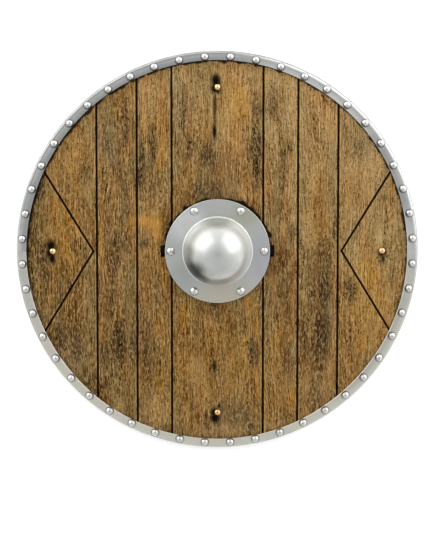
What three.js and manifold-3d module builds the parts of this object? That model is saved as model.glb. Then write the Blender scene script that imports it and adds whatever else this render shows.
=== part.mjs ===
// A round wooden shield: one board with routed grooves, a folded steel rim held by dome-headed nails,
// a steel boss riveted over the hand hole, and a blackened grip bar let in across that hole.
//
// Millimetres. The shield lies on its back: z = 0 is the back of the rim, +Z is towards the face,
// +Y is the top of the shield, and the Z axis runs through the middle of the boss.

import * as THREE from 'three';
import { mergeVertices } from 'three/addons/utils/BufferGeometryUtils.js';
import Module from 'manifold-3d';

const wasm = await Module();
wasm.setup();

// Driving sizes
const shieldRadius = 305;
const boardThickness = 12;
const sheetSteel = 2;
const fitGap = 0.3;

// Rim
const rimWidth = 14.5;
const rimBend = 2;
const rimInnerBevel = 1;
const rimSides = 96;

// Grooves
const grooveWidth = 2.2;
const grooveDepth = 4;
const grooveBevel = 0.8;
const grooveLines = [69.5, 122.3, 183.2];
const chevronApex = 188.7;
const chevronRimX = 262;
const chevronRimY = 121.2;

// Boss
const bossFlangeRadius = 80;
const domeRadius = 52.5;
const domeHeight = 54;
const domeFillet = 1.5;
const domeSteps = 6;
const innerDomeSteps = 4;
const bossSides = 40;
const bossEdgeBevel = 0.7;
const handHoleRadius = 48;
const handHoleSides = 40;

// Grip bar
const gripRecessLength = 172.8;
const gripRecessWidth = 18.2;
const gripThickness = 6;
const gripSink = 1.5;
const gripCorner = 1.8;

// Fasteners
const rimNailCount = 48;
const rimNailCircle = 297.5;
const rimNail = { headRadius: 5.5, headHeight: 3.4, shank: 2.6, length: 9, sides: 8, rings: 2 };

const bossRivetCount = 6;
const bossRivetCircle = 71.3;
const bossRivet = {
  headRadius: 6.5, headHeight: 4, shankRadius: 2.5, tailRadius: 4.5, tailHeight: 1.2, sides: 8, rings: 2,
};

const brassNailCircle = 250.8;
const brassNail = {
  headRadius: 5, headHeight: 3.2, shankRadius: 1.6, tailRadius: 3.2, tailHeight: 1, sides: 8, rings: 2,
};

// Heights that follow from the sizes above
const boardBack = sheetSteel + fitGap;
const boardFace = boardBack + boardThickness;
const steelBack = boardFace + fitGap;
const steelFace = steelBack + sheetSteel;
const headOnSteel = steelFace + fitGap;
const headOnBoard = boardFace + fitGap;

// Materials
const wood = new THREE.MeshStandardMaterial({ color: 0x94703c, roughness: 0.55, metalness: 0 });
const steel = new THREE.MeshStandardMaterial({ color: 0xb4b4b2, roughness: 0.35, metalness: 1 });
const polishedSteel = new THREE.MeshStandardMaterial({ color: 0xcfcfcc, roughness: 0.2, metalness: 1 });
const brass = new THREE.MeshStandardMaterial({ color: 0xc9a45c, roughness: 0.3, metalness: 1 });
const blackenedSteel = new THREE.MeshStandardMaterial({ color: 0x0c0b0b, roughness: 0.6, metalness: 0.4 });

// A closed mesh as a solid that can be joined and cut.
function toSolid(geometry) {
  const bare = geometry.clone();
  bare.deleteAttribute('normal');
  bare.deleteAttribute('uv');
  const merged = mergeVertices(bare, 1e-4);
  return new wasm.Manifold(new wasm.Mesh({
    numProp: 3,
    vertProperties: new Float32Array(merged.attributes.position.array),
    triVerts: new Uint32Array(merged.index.array),
  }));
}

// The solid's surface as a three.js geometry again.
function toGeometry(solid) {
  const mesh = solid.getMesh();
  const geometry = new THREE.BufferGeometry();
  geometry.setAttribute('position', new THREE.BufferAttribute(new Float32Array(mesh.vertProperties), 3));
  geometry.setIndex(new THREE.BufferAttribute(new Uint32Array(mesh.triVerts), 1));
  geometry.computeVertexNormals();
  return geometry;
}

// A profile of [radius, height] pairs turned around the Z axis.
function turned(profile, sides) {
  const points = profile.map(([radius, height]) => new THREE.Vector2(radius, height));
  return new THREE.LatheGeometry(points, sides).rotateX(Math.PI / 2);
}

// A plain disc or post between two heights.
function cylinder(radius, low, high, sides) {
  return turned([[0, low], [radius, low], [radius, high], [0, high]], sides);
}

// A rounded head: points from its edge up to, but not on, the axis, on an arc of one sphere.
function capArc(radius, height, base, rings) {
  const sphere = (radius ** 2 + height ** 2) / (2 * height);
  const edgeAngle = Math.asin(radius / sphere);
  const points = [];
  for (let ring = 0; ring < rings; ring += 1) {
    const angle = edgeAngle * (1 - ring / rings);
    points.push([sphere * Math.sin(angle), base + height - sphere * (1 - Math.cos(angle))]);
  }
  return points;
}

// The dome's quarter ellipse, from its foot up to, but not on, the axis.
function domeArc(radius, height, base, steps) {
  const points = [];
  for (let step = 0; step < steps; step += 1) {
    const angle = (step / steps) * (Math.PI / 2);
    points.push([radius * Math.cos(angle), base + height * Math.sin(angle)]);
  }
  return points;
}

// Copies of one solid around the Z axis, at these angles.
function around(solid, radius, angles) {
  return angles.map((angle) => solid.translate([radius, 0, 0]).rotate([0, 0, THREE.MathUtils.radToDeg(angle)]));
}

function evenAngles(count, start) {
  return Array.from({ length: count }, (_, index) => start + (index * 2 * Math.PI) / count);
}

const rimNailAngles = evenAngles(rimNailCount, Math.PI / rimNailCount);
const bossRivetAngles = evenAngles(bossRivetCount, 0);
const brassNailAngles = evenAngles(4, 0);

// A routed groove along Y: straight walls with a small bevel where they meet the face.
function grooveCutter(length) {
  const half = grooveWidth / 2;
  const mouth = half + grooveBevel + fitGap;
  const section = new THREE.Shape([
    new THREE.Vector2(-half, -grooveDepth),
    new THREE.Vector2(half, -grooveDepth),
    new THREE.Vector2(half, -grooveBevel),
    new THREE.Vector2(mouth, fitGap),
    new THREE.Vector2(-mouth, fitGap),
    new THREE.Vector2(-half, -grooveBevel),
  ]);
  return new THREE.ExtrudeGeometry(section, { depth: length, bevelEnabled: false })
    .rotateX(Math.PI / 2)
    .translate(0, length / 2, boardFace);
}

// Two groove arms that spread from the apex to the rim, mitred where they meet on the X axis.
function chevronCutter() {
  const turn = Math.atan2(chevronRimX - chevronApex, chevronRimY);
  const reach = shieldRadius;
  const arm = toSolid(grooveCutter(2 * reach)
    .rotateZ(-turn)
    .translate(chevronApex, 0, 0));
  const upperHalf = toSolid(new THREE.BoxGeometry(4 * reach, reach, 4 * boardThickness)
    .translate(0, reach / 2, boardFace));
  const upperArm = arm.intersect(upperHalf);
  const lowerArm = upperArm.mirror([0, 1, 0]);
  return upperArm.add(lowerArm);
}

// Holes are a fitGap wider than what passes through them.
function squareHole(width, low, high) {
  return toSolid(new THREE.BoxGeometry(width + 2 * fitGap, width + 2 * fitGap, high - low)
    .translate(0, 0, (low + high) / 2));
}

function roundHole(radius, low, high, sides) {
  return toSolid(cylinder(radius + fitGap, low, high, sides));
}

function boardMesh() {
  const boardRadius = shieldRadius - sheetSteel - fitGap;
  const below = boardBack - fitGap;
  const above = boardFace + fitGap;
  const nailFloor = headOnSteel - rimNail.length - fitGap;
  const recessDepth = gripSink + gripThickness + fitGap;
  const straightGrooves = grooveLines.flatMap((line) => [-line, line])
    .map((line) => toSolid(grooveCutter(2 * shieldRadius).translate(line, 0, 0)));
  const rightChevron = chevronCutter();
  const cutters = [
    ...straightGrooves,
    rightChevron,
    rightChevron.rotate([0, 0, 180]),
    toSolid(cylinder(handHoleRadius, below, above, handHoleSides)),
    toSolid(new THREE.BoxGeometry(gripRecessLength, gripRecessWidth, recessDepth + fitGap)
      .translate(0, 0, above - (recessDepth + fitGap) / 2)),
    ...around(squareHole(rimNail.shank, nailFloor, above), rimNailCircle, rimNailAngles),
    ...around(roundHole(bossRivet.shankRadius, below, above, bossRivet.sides), bossRivetCircle, bossRivetAngles),
    ...around(roundHole(brassNail.shankRadius, below, above, brassNail.sides), brassNailCircle, brassNailAngles),
  ];
  const disc = toSolid(cylinder(boardRadius, boardBack, boardFace, rimSides));
  return new THREE.Mesh(toGeometry(disc.subtract(wasm.Manifold.union(cutters))), wood);
}

// Sheet steel folded over the edge of the board, with a bevelled lip on the face.
function rimMesh() {
  const lip = shieldRadius - rimWidth;
  const wall = shieldRadius - sheetSteel;
  const channel = turned([
    [lip, 0],
    [shieldRadius - rimBend, 0],
    [shieldRadius, rimBend],
    [shieldRadius, steelFace - rimBend],
    [shieldRadius - rimBend, steelFace],
    [lip + rimInnerBevel, steelFace],
    [lip, steelFace - rimInnerBevel],
    [lip, steelBack],
    [wall, steelBack],
    [wall, sheetSteel],
    [lip, sheetSteel],
    [lip, 0],
  ], rimSides);
  const holes = around(squareHole(rimNail.shank, steelBack - fitGap, headOnSteel), rimNailCircle, rimNailAngles);
  return new THREE.Mesh(toGeometry(toSolid(channel).subtract(wasm.Manifold.union(holes))), steel);
}

// A hollow dome of sheet steel with a flat flange, open at the back.
function bossMesh() {
  const innerDome = domeArc(domeRadius - sheetSteel, domeHeight - sheetSteel, steelFace, innerDomeSteps);
  const shell = turned([
    [0, steelFace + domeHeight - sheetSteel],
    ...innerDome.reverse(),
    [domeRadius - sheetSteel, steelBack],
    [bossFlangeRadius, steelBack],
    [bossFlangeRadius, steelFace - bossEdgeBevel],
    [bossFlangeRadius - bossEdgeBevel, steelFace],
    [domeRadius + domeFillet, steelFace],
    ...domeArc(domeRadius, domeHeight - domeFillet, steelFace + domeFillet, domeSteps),
    [0, steelFace + domeHeight],
  ], bossSides);
  const hole = roundHole(bossRivet.shankRadius, steelBack - fitGap, headOnSteel, bossRivet.sides);
  const holes = around(hole, bossRivetCircle, bossRivetAngles);
  return new THREE.Mesh(toGeometry(toSolid(shell).subtract(wasm.Manifold.union(holes))), steel);
}

// A rivet through the board: rounded head in front, shank, and a flat tail spread on the back.
function rivetGeometry(rivet, headBase) {
  const tailTop = boardBack - fitGap;
  return turned([
    [0, tailTop - rivet.tailHeight],
    [rivet.tailRadius, tailTop - rivet.tailHeight],
    [rivet.tailRadius, tailTop],
    [rivet.shankRadius, tailTop],
    [rivet.shankRadius, headBase],
    ...capArc(rivet.headRadius, rivet.headHeight, headBase, rivet.rings),
    [0, headBase + rivet.headHeight],
  ], rivet.sides);
}

// A cut nail: rounded head, square shank that ends inside the board.
function rimNailGeometry() {
  const head = turned([
    [0, 0],
    ...capArc(rimNail.headRadius, rimNail.headHeight, 0, rimNail.rings),
    [0, rimNail.headHeight],
  ], rimNail.sides);
  const shankTop = rimNail.headHeight / 2;
  const shankLength = rimNail.length + shankTop;
  const shank = new THREE.BoxGeometry(rimNail.shank, rimNail.shank, shankLength)
    .translate(0, 0, shankTop - shankLength / 2);
  return toGeometry(toSolid(head).add(toSolid(shank)));
}

// The bar that the hand holds, let into the face of the board. The two boss rivets on its line are
// spread inside it, so they are one solid with it.
function gripMesh() {
  const halfWidth = gripRecessWidth / 2 - fitGap;
  const top = boardFace - gripSink;
  const bottom = top - gripThickness;
  const section = new THREE.Shape([
    new THREE.Vector2(-halfWidth + gripCorner, bottom),
    new THREE.Vector2(halfWidth - gripCorner, bottom),
    new THREE.Vector2(halfWidth, bottom + gripCorner),
    new THREE.Vector2(halfWidth, top - gripCorner),
    new THREE.Vector2(halfWidth - gripCorner, top),
    new THREE.Vector2(-halfWidth + gripCorner, top),
    new THREE.Vector2(-halfWidth, top - gripCorner),
    new THREE.Vector2(-halfWidth, bottom + gripCorner),
  ]);
  const length = gripRecessLength - 2 * fitGap;
  const bar = new THREE.ExtrudeGeometry(section, { depth: length, bevelEnabled: false })
    .rotateX(Math.PI / 2)
    .rotateZ(Math.PI / 2)
    .translate(-length / 2, 0, 0);
  const rivets = around(toSolid(rivetGeometry(bossRivet, headOnSteel)), bossRivetCircle, [0, Math.PI]);
  return new THREE.Mesh(toGeometry(wasm.Manifold.union([toSolid(bar), ...rivets])), blackenedSteel);
}

function place(mesh, name, radius, angle, height = 0) {
  mesh.name = name;
  mesh.position.set(radius * Math.cos(angle), radius * Math.sin(angle), height);
  mesh.rotation.z = angle;
  return mesh;
}

const shield = new THREE.Group();

shield.add(place(boardMesh(), 'board', 0, 0));
shield.add(place(rimMesh(), 'rim', 0, 0));
shield.add(place(bossMesh(), 'boss', 0, 0));
shield.add(place(gripMesh(), 'grip_bar', 0, 0));

const nailShape = rimNailGeometry();
rimNailAngles.forEach((angle, index) => {
  const name = `rim_nail_${String(index + 1).padStart(2, '0')}`;
  shield.add(place(new THREE.Mesh(nailShape, polishedSteel), name, rimNailCircle, angle, headOnSteel));
});

const bossRivetShape = rivetGeometry(bossRivet, headOnSteel);
bossRivetAngles.filter((angle) => Math.abs(Math.sin(angle)) > 0.5).forEach((angle, index) => {
  shield.add(place(new THREE.Mesh(bossRivetShape, polishedSteel), `boss_rivet_${index + 1}`, bossRivetCircle, angle));
});

const brassNailShape = rivetGeometry(brassNail, headOnBoard);
['right', 'top', 'left', 'bottom'].forEach((side, index) => {
  const mesh = new THREE.Mesh(brassNailShape, brass);
  shield.add(place(mesh, `brass_nail_${side}`, brassNailCircle, brassNailAngles[index]));
});

export default shield;
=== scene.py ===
# %% [markdown]
# # A round wooden shield
#
# The shield is one round board, stained golden brown and cut with straight grooves and two chevrons. A
# folded steel rim holds its edge with 48 dome-headed nails, a steel boss is riveted over the hand hole,
# and a black bar crosses that hole as the grip. It lies on its back, so +Z comes out of its face and +Y
# points to its top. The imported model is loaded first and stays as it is: it gives the places and sizes.

# %% Load the fixed frame
import math

import bmesh
import bpy
from mathutils import Matrix, Vector


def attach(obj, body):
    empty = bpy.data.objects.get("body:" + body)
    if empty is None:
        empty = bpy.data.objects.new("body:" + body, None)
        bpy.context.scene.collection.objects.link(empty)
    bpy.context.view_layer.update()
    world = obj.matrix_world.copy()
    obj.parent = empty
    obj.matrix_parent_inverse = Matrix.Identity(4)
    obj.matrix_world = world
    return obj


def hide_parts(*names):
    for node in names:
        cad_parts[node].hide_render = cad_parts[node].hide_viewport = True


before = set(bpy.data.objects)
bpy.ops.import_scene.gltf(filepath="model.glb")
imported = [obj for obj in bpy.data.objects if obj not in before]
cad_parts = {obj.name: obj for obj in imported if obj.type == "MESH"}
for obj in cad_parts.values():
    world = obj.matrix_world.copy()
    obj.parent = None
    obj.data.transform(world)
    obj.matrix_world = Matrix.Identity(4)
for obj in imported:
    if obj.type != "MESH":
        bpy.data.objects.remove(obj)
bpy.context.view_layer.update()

# %% [markdown]
# ## Sizes
#
# A piece only fits if every size that two pieces share is written once. These are the same driving sizes
# as in the solids, in metres. The heights follow from them: the board lies on the rim's back fold, the
# steel lies on the board's face, and the heads stand on the steel.

# %% Name the driving sizes
mm = 0.001

shield_radius = 305 * mm
sheet_steel = 2 * mm
fit_gap = 0.3 * mm
board_thickness = 12 * mm

board_back = sheet_steel + fit_gap
board_face = board_back + board_thickness
steel_back = board_face + fit_gap
steel_face = steel_back + sheet_steel
head_on_steel = steel_face + fit_gap
head_on_board = board_face + fit_gap

print("board face at", round(board_face / mm, 1), "mm, steel face at", round(steel_face / mm, 1), "mm")

# %% [markdown]
# ## Turning a bmesh into a piece
#
# Each physical piece becomes one object at the origin, with its place in its mesh. Merging doubles closes
# the seams that a spin leaves, and only then can the normals be turned outwards safely. Smooth shading
# with sharp edges by angle keeps a dome soft and a cut edge crisp.

# %% Write the helper for pieces
merge_distance = 0.002 * mm
sharp_angle = math.radians(35)


def make_piece(name, bm, material, replaced):
    """Turn a bmesh into a finished object that stands for these CAD nodes."""
    bmesh.ops.remove_doubles(bm, verts=bm.verts, dist=merge_distance)
    bmesh.ops.recalc_face_normals(bm, faces=bm.faces)
    mesh = bpy.data.meshes.new(name)
    bm.to_mesh(mesh)
    bm.free()
    mesh.shade_smooth()
    mesh.set_sharp_from_angle(angle=sharp_angle)
    mesh.materials.append(material)
    made = bpy.data.objects.new(name, mesh)
    bpy.context.scene.collection.objects.link(made)
    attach(made, "root")
    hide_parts(*replaced)
    return made


# %% [markdown]
# ## Small tools for shader nodes
#
# A procedural finish is a long sum: noise, stretched, thresholded, mixed. Written node by node it would
# be hard to read, so a few helpers each add one node and hand back its output. They find the node tree
# through the outputs that they are given. The first ones work on numbers and places.

# %% Write the helpers for numbers and places
def add_node(tree, kind, **settings):
    """Add a shader node with these settings."""
    made = tree.nodes.new(kind)
    for name, value in settings.items():
        setattr(made, name, value)
    return made


def owner(*values):
    """The node tree in which these outputs lie."""
    return next(value.id_data for value in values if isinstance(value, bpy.types.NodeSocket))


def feed(socket, value):
    """Give a socket a plain value or another node's output."""
    if isinstance(value, bpy.types.NodeSocket):
        socket.id_data.links.new(value, socket)
    else:
        socket.default_value = value


def calculate(operation, *values):
    """One step of arithmetic on numbers."""
    step = add_node(owner(*values), "ShaderNodeMath", operation=operation)
    for socket, value in zip(step.inputs, values):
        feed(socket, value)
    return step.outputs[0]


def times(first, second):
    """Multiply two numbers."""
    return calculate("MULTIPLY", first, second)


def scaled(value, factor, start):
    """A value times a factor, on top of a start."""
    return calculate("MULTIPLY_ADD", value, factor, start)


def centred(value):
    """A value from 0 to 1, moved to lie around 0."""
    return calculate("SUBTRACT", value, 0.5)


def join(operation, values):
    """Take many numbers together by one operation."""
    total, *others = values
    for value in others:
        total = calculate(operation, total, value)
    return total


def combine(operation, *values):
    """One step of arithmetic on vectors."""
    step = add_node(owner(*values), "ShaderNodeVectorMath", operation=operation)
    for socket, value in zip(step.inputs, values):
        feed(socket, value)
    return step.outputs["Value" if operation in ("LENGTH", "DOT_PRODUCT") else "Vector"]


def axes(position):
    """The X, the Y and the Z of a place."""
    apart = add_node(owner(position), "ShaderNodeSeparateXYZ")
    feed(apart.inputs[0], position)
    return tuple(apart.outputs)


def span(value, start, end, low=0.0, high=1.0):
    """Change smoothly from low to high while the value goes from start to end."""
    step = add_node(owner(value), "ShaderNodeMapRange", interpolation_type="SMOOTHSTEP")
    for socket, given in zip(step.inputs, (value, start, end, low, high)):
        feed(socket, given)
    return step.outputs[0]


# %% [markdown]
# The next ones make patterns and colours. Noise is even along its own axes, so on a flat face it would
# show its lattice as rows of dots. Turning the place first, by an odd angle about an odd axis, hides it.

# %% Write the helpers for patterns and colours
noise_axis = (0.60, 0.48, 0.64)
noise_turn = 0.9


def noise(position, grain, detail=2.0, roughness=0.5):
    """Cloudy noise from about 0.3 to 0.7, whose clouds are as wide, high and deep as grain says."""
    turned = add_node(owner(position), "ShaderNodeVectorRotate")
    feed(turned.inputs["Vector"], combine("DIVIDE", position, grain))
    feed(turned.inputs["Axis"], noise_axis)
    feed(turned.inputs["Angle"], noise_turn)
    clouds = add_node(owner(position), "ShaderNodeTexNoise")
    for name, value in (
            ("Vector", turned.outputs[0]), ("Scale", 1.0), ("Detail", detail), ("Roughness", roughness)):
        feed(clouds.inputs[name], value)
    return clouds.outputs["Fac"]


def mix(amount, first, second, blend="MIX"):
    """Mix two colours."""
    step = add_node(owner(amount, first, second), "ShaderNodeMix", data_type="RGBA", blend_type=blend)
    for name, value in (("Factor_Float", amount), ("A_Color", first), ("B_Color", second)):
        feed(next(socket for socket in step.inputs if socket.identifier == name), value)
    return next(socket for socket in step.outputs if socket.identifier == "Result_Color")


def ramp(value, stops):
    """Look a value up in a run of colours."""
    step = add_node(owner(value), "ShaderNodeValToRGB")
    elements = step.color_ramp.elements
    while len(elements) < len(stops):
        elements.new(0.5)
    for element, (place, colour) in zip(elements, stops):
        element.position = place
        element.color = colour
    feed(step.inputs[0], value)
    return step.outputs["Color"]


def paint(red, green, blue):
    """A colour given as it looks on a screen, from 0 to 255, as the light that shaders mix."""
    parts = [value / 255 for value in (red, green, blue)]
    light = [part / 12.92 if part <= 0.04045 else ((part + 0.055) / 1.055) ** 2.4 for part in parts]
    return (*light, 1.0)


print("a middle grey sends back", round(paint(128, 128, 128)[0], 3), "of the light")

# %% [markdown]
# The last ones start a material. Every pattern reads the place on the shield in millimetres, the same in
# every material, so a pattern keeps its size and goes on from piece to piece.

# %% Write the helpers for materials
def millimetres(tree):
    """The place on the shield in millimetres."""
    coordinates = add_node(tree, "ShaderNodeTexCoord")
    return combine("MULTIPLY", coordinates.outputs["Object"], (1000, 1000, 1000))


def seen_flat(place):
    """A place without its height, and how far it lies from the middle."""
    flat = combine("MULTIPLY", place, (1, 1, 0))
    return flat, combine("LENGTH", flat)


def new_material(name, **constants):
    """A material with its node tree and its shader, whose plain values are set on its own sockets."""
    material = bpy.data.materials.new(name)
    material.use_nodes = True
    tree = material.node_tree
    shader = tree.nodes["Principled BSDF"]
    for socket, value in constants.items():
        shader.inputs[socket.replace("_", " ")].default_value = value
    return material, tree, shader


def bump(height, strength, distance_mm):
    """Tilt the surface by a height, which is 0 to 1 over this distance."""
    step = add_node(owner(height), "ShaderNodeBump")
    for name, value in (("Strength", strength), ("Distance", distance_mm * mm), ("Height", height)):
        feed(step.inputs[name], value)
    return step.outputs["Normal"]


# %% [markdown]
# ## Shared effects
#
# Three effects come back in more than one finish, so each is a node group. A soft patch is an ellipse with
# a faded edge, for a stain on the wood or a tint on the steel. Fine scratches are thin stretched noise in
# two directions. Handling marks are the dull clouds that hands and weather leave on any metal.

# %% Write the helpers for node groups
def new_group(name, inputs, outputs):
    """An empty node group with named inputs and outputs."""
    tree = bpy.data.node_groups.new(name, "ShaderNodeTree")
    for socket, kind in inputs.items():
        tree.interface.new_socket(socket, in_out="INPUT", socket_type=kind)
    for socket, kind in outputs.items():
        tree.interface.new_socket(socket, in_out="OUTPUT", socket_type=kind)
    return tree, tree.nodes.new("NodeGroupInput").outputs, tree.nodes.new("NodeGroupOutput").inputs


def place_group(group, **values):
    """Place a group in a material and give its inputs their values."""
    placed = add_node(owner(*values.values()), "ShaderNodeGroup", node_tree=group)
    for name, value in values.items():
        feed(placed.inputs[name], value)
    return placed.outputs


# %% Build the node groups
number = "NodeSocketFloat"
vector = "NodeSocketVector"

soft_patch, given, result = new_group(
    "soft patch", {"Position": vector, "Middle": vector, "Reach": vector, "Strength": number},
    {"Mask": number})
from_middle = combine("SUBTRACT", given["Position"], given["Middle"])
in_reaches = combine("LENGTH", combine("DIVIDE", from_middle, given["Reach"]))
feed(result["Mask"], span(in_reaches, 1.35, 0.35, 0.0, given["Strength"]))

scratches, given, result = new_group(
    "fine scratches", {"Position": vector, "Amount": number}, {"Mask": number, "Height": number})
along_x = noise(given["Position"], (14, 0.35, 6), 2)
along_y = noise(given["Position"], (0.35, 14, 6), 2)
deepest = calculate("MAXIMUM", along_x, along_y)
marked = times(span(deepest, 0.62, 0.74), given["Amount"])
feed(result["Mask"], marked)
feed(result["Height"], calculate("SUBTRACT", 1.0, marked))

handling, given, result = new_group(
    "handling marks", {"Position": vector, "Size": number}, {"Mask": number, "Specks": number})
in_sizes = combine("DIVIDE", given["Position"], given["Size"])
clouds = span(noise(in_sizes, (1, 1, 1), 3, 0.6), 0.38, 0.64)
specks = span(noise(given["Position"], (0.9, 0.9, 0.9), 1), 0.64, 0.72)
feed(result["Mask"], clouds)
feed(result["Specks"], specks)

print("node groups:", [group.name for group in bpy.data.node_groups])

# %% [markdown]
# ## The wood
#
# The real board is stained and then rubbed with dark wax, which stays in the open pores and in every
# groove. A photograph on the surface would be quick but fixed to one size, so the grain is built from
# noise stretched along Y. Smudges, pale rubs, and nail stains with the heads' painted shadows have places
# of their own, so they are listed once and laid down later in a loop.

# %% Name the marks on the board
# The grooves and chevrons in millimetres from the middle
groove_lines = (69.5, 122.3, 183.2)
chevron_point = 188.7
chevron_end = (262, 121.2)

# Middle across, middle up, half width, half height in millimetres, and strength
smoky_marks = [
    (-139, 196, 9, 34, 0.6), (-170, 165, 10, 20, 0.35), (-151, 121, 8, 19, 0.45), (-117, 132, 11, 40, 0.8),
    (-98, 160, 7, 40, 0.7), (-99, 96, 8, 22, 0.5), (-53, 205, 7, 44, 0.4), (-15, 148, 13, 22, 0.7),
    (60, 150, 10, 62, 0.85), (60, 217, 9, 28, 0.55), (99, 126, 7, 40, 0.55), (109, 158, 6, 14, 0.7),
    (84, 232, 11, 31, 0.35), (146, 205, 6, 24, 0.3), (-18, 93, 30, 14, 0.5), (23, 74, 22, 9, 0.5),
    (-141, 70, 8, 31, 0.3), (-112, 13, 8, 9, 0.7), (-156, -4, 9, 38, 0.75), (-262, -38, 15, 14, 0.45),
    (-240, -134, 13, 25, 0.75), (-150, -140, 17, 38, 0.6), (-110, -138, 9, 52, 0.4), (55, -158, 10, 27, 0.75),
    (-6, -181, 6, 15, 0.6), (160, -8, 12, 34, 0.55), (160, -128, 15, 46, 0.95), (131, -134, 9, 36, 0.5),
    (146, -69, 8, 38, 0.5), (149, -223, 8, 22, 0.4), (20, -248, 24, 23, 0.4), (180, 47, 4, 31, 0.5),
    (215, 155, 11, 19, 0.35), (-239, -177, 18, 19, 0.4), (-216, -153, 10, 31, 0.45), (97, 60, 6, 26, 0.35),
    (163, -58, 13, 50, 0.75), (203, -62, 12, 24, 0.6), (-272, 104, 12, 24, 0.8), (-266, -8, 10, 14, 0.6),
    (-218, 7, 7, 18, 0.5), (-42, 162, 10, 22, 0.5), (-166, 26, 8, 44, 0.4), (252, -8, 9, 18, 0.6),
    (146, -150, 12, 26, 0.5), (142, -102, 9, 26, 0.45), (-262, 5, 8, 16, 0.5), (168, -6, 8, 20, 0.5),
    (114, 29, 8, 16, 0.5), (-197, 121, 10, 22, 0.45), (-170, -160, 12, 22, 0.5), (-129, -152, 9, 24, 0.45),
    (-138, 13, 8, 16, 0.5), (107, -153, 8, 22, 0.4), (0, 252, 10, 10, 0.4),
]
brown_marks = [
    (156, 60, 12, 60, 0.5), (150, -20, 10, 30, 0.4), (147, -166, 11, 30, 0.5), (102, -36, 10, 18, 0.4),
    (-281, 40, 9, 44, 0.7),
    (84, -18, 14, 31, 0.7), (104, -76, 18, 52, 0.55), (126, -138, 12, 46, 0.35), (28, -110, 30, 25, 0.45),
    (50, -53, 21, 22, 0.3), (-102, -146, 15, 46, 0.3), (-46, 132, 6, 25, 0.4), (-163, -61, 12, 46, 0.25),
    (23, -123, 9, 37, 0.3), (-64, 16, 15, 46, 0.35), (111, -177, 21, 22, 0.35), (-186, -207, 21, 15, 0.4),
    (203, -123, 12, 46, 0.25), (98, -8, 14, 30, 0.8), (4, 122, 56, 34, 0.45), (-80, 44, 10, 32, 0.7),
    (-10, -88, 34, 12, 0.5), (-48, 80, 18, 14, 0.6), (52, 70, 20, 12, 0.6), (87, 69, 12, 20, 0.5),
    (110, -36, 12, 20, 0.5),
]
orange_marks = [
    (-131, 44, 6, 14, 0.6), (-87, 136, 6, 14, 0.8),
    (34, 232, 9, 23, 0.75), (-179, 21, 5, 34, 0.7), (-230, 21, 8, 39, 0.6), (-81, -38, 6, 20, 0.95),
    (-52, -99, 8, 17, 0.75), (50, -81, 5, 17, 0.85), (60, -113, 5, 20, 0.75), (-87, -203, 8, 23, 0.6),
    (-91, -115, 8, 31, 0.45), (114, -230, 9, 22, 0.85), (90, -146, 8, 28, 0.5), (236, -45, 9, 23, 0.65),
    (221, -143, 9, 20, 0.65), (-231, -84, 6, 20, 0.5), (-178, -123, 6, 23, 0.4), (-26, -223, 6, 23, 0.5),
    (43, -146, 6, 23, 0.35), (96, -146, 9, 46, 0.3), (1.5, -178, 3, 12, 0.9),
]
orange_patch = [(-112, 46, 20, 9, 1), (-97, 42, 15, 11, 1), (-92, 27, 7, 14, 0.85)]
golden_marks = [
    (0, -190, 80, 90, 0.55), (-236, 30, 30, 80, 0.6), (228, -70, 38, 80, 0.6), (-212, 132, 34, 55, 0.45),
    (-88, 170, 16, 60, 0.5), (150, 60, 24, 70, 0.3), (-84, 20, 18, 60, 0.5), (-40, -110, 40, 50, 0.4),
    (20, 215, 30, 50, 0.4), (-85, -210, 30, 60, 0.4), (85, -215, 30, 50, 0.35),
]
grey_marks = [
    (-165, 170, 24, 44, 0.6), (205, 165, 44, 50, 0.6), (20, -258, 44, 30, 0.6), (-228, -160, 28, 40, 0.7),
    (0, 96, 44, 18, 0.6), (-55, 225, 20, 40, 0.5), (150, -215, 30, 40, 0.4),
]
pale_marks = [
    (66, 172, 16, 30, 0.7), (130, 132, 14, 22, 0.6), (88, 262, 30, 18, 0.8), (-30, -190, 14, 30, 0.7),
    (-90, -245, 36, 34, 0.6),
    (137, 29, 14, 28, 0.7), (120, 35, 9, 25, 0.4), (215, 121, 37, 31, 0.6), (-102, 240, 12, 23, 0.4),
    (40, 235, 14, 28, 0.3), (251, 1, 21, 40, 0.35), (107, 260, 24, 14, 0.7), (-221, 124, 24, 40, 0.35),
    (12, 201, 15, 37, 0.25), (172, 186, 21, 31, 0.3), (-87, -246, 18, 19, 0.3), (20, -223, 37, 31, 0.3),
    (-114, -258, 16, 14, 0.6), (139, 245, 10, 14, 0.6), (131, 175, 8, 24, 0.6), (-81, -209, 10, 24, 0.5),
    (28, 230, 12, 22, 0.7), (84, 180, 8, 24, 0.6), (227, 56, 12, 24, 0.5), (85, 247, 10, 14, 0.6),
    (136, 210, 10, 20, 0.6), (-24, -229, 14, 20, 0.5), (-81, -27, 8, 16, 0.5), (-214, 167, 12, 20, 0.6),
    (-151, -241, 12, 16, 0.6), (3, -183, 16, 24, 0.5), (0, -280, 50, 8, 0.6), (87, -270, 20, 8, 0.5),
]
# Nail stains, with the painted shadows of the heads in them
nail_stains_and_shadows = [
    (-2.4, 261, 8, 12, 1), (-3, 248.5, 8.5, 8.5, 1), (-4, 222, 3.2, 32, 0.7), (5.6, 240, 1.6, 14, 0.6),
    (-4.4, 183, 3.4, 14, 1), (-253, 8, 8, 11, 1), (-251.6, -10.8, 5.5, 9, 1), (-254.5, -2, 7.5, 8, 1),
    (-3.8, -259.8, 8.5, 9, 1), (-4.8, -250.5, 7, 8, 1), (2.1, -240.5, 2.5, 4, 0.9),
    (-4.6, -180, 3.2, 13, 0.7), (252.8, -12.3, 2.6, 7, 0.85), (249.4, -3, 6.5, 6.5, 0.9),
]

mark_kinds = (
    smoky_marks, brown_marks, orange_marks, orange_patch, golden_marks, grey_marks, pale_marks, nail_stains_and_shadows)
print("marks on the board:", sum(len(kind) for kind in mark_kinds))

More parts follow.
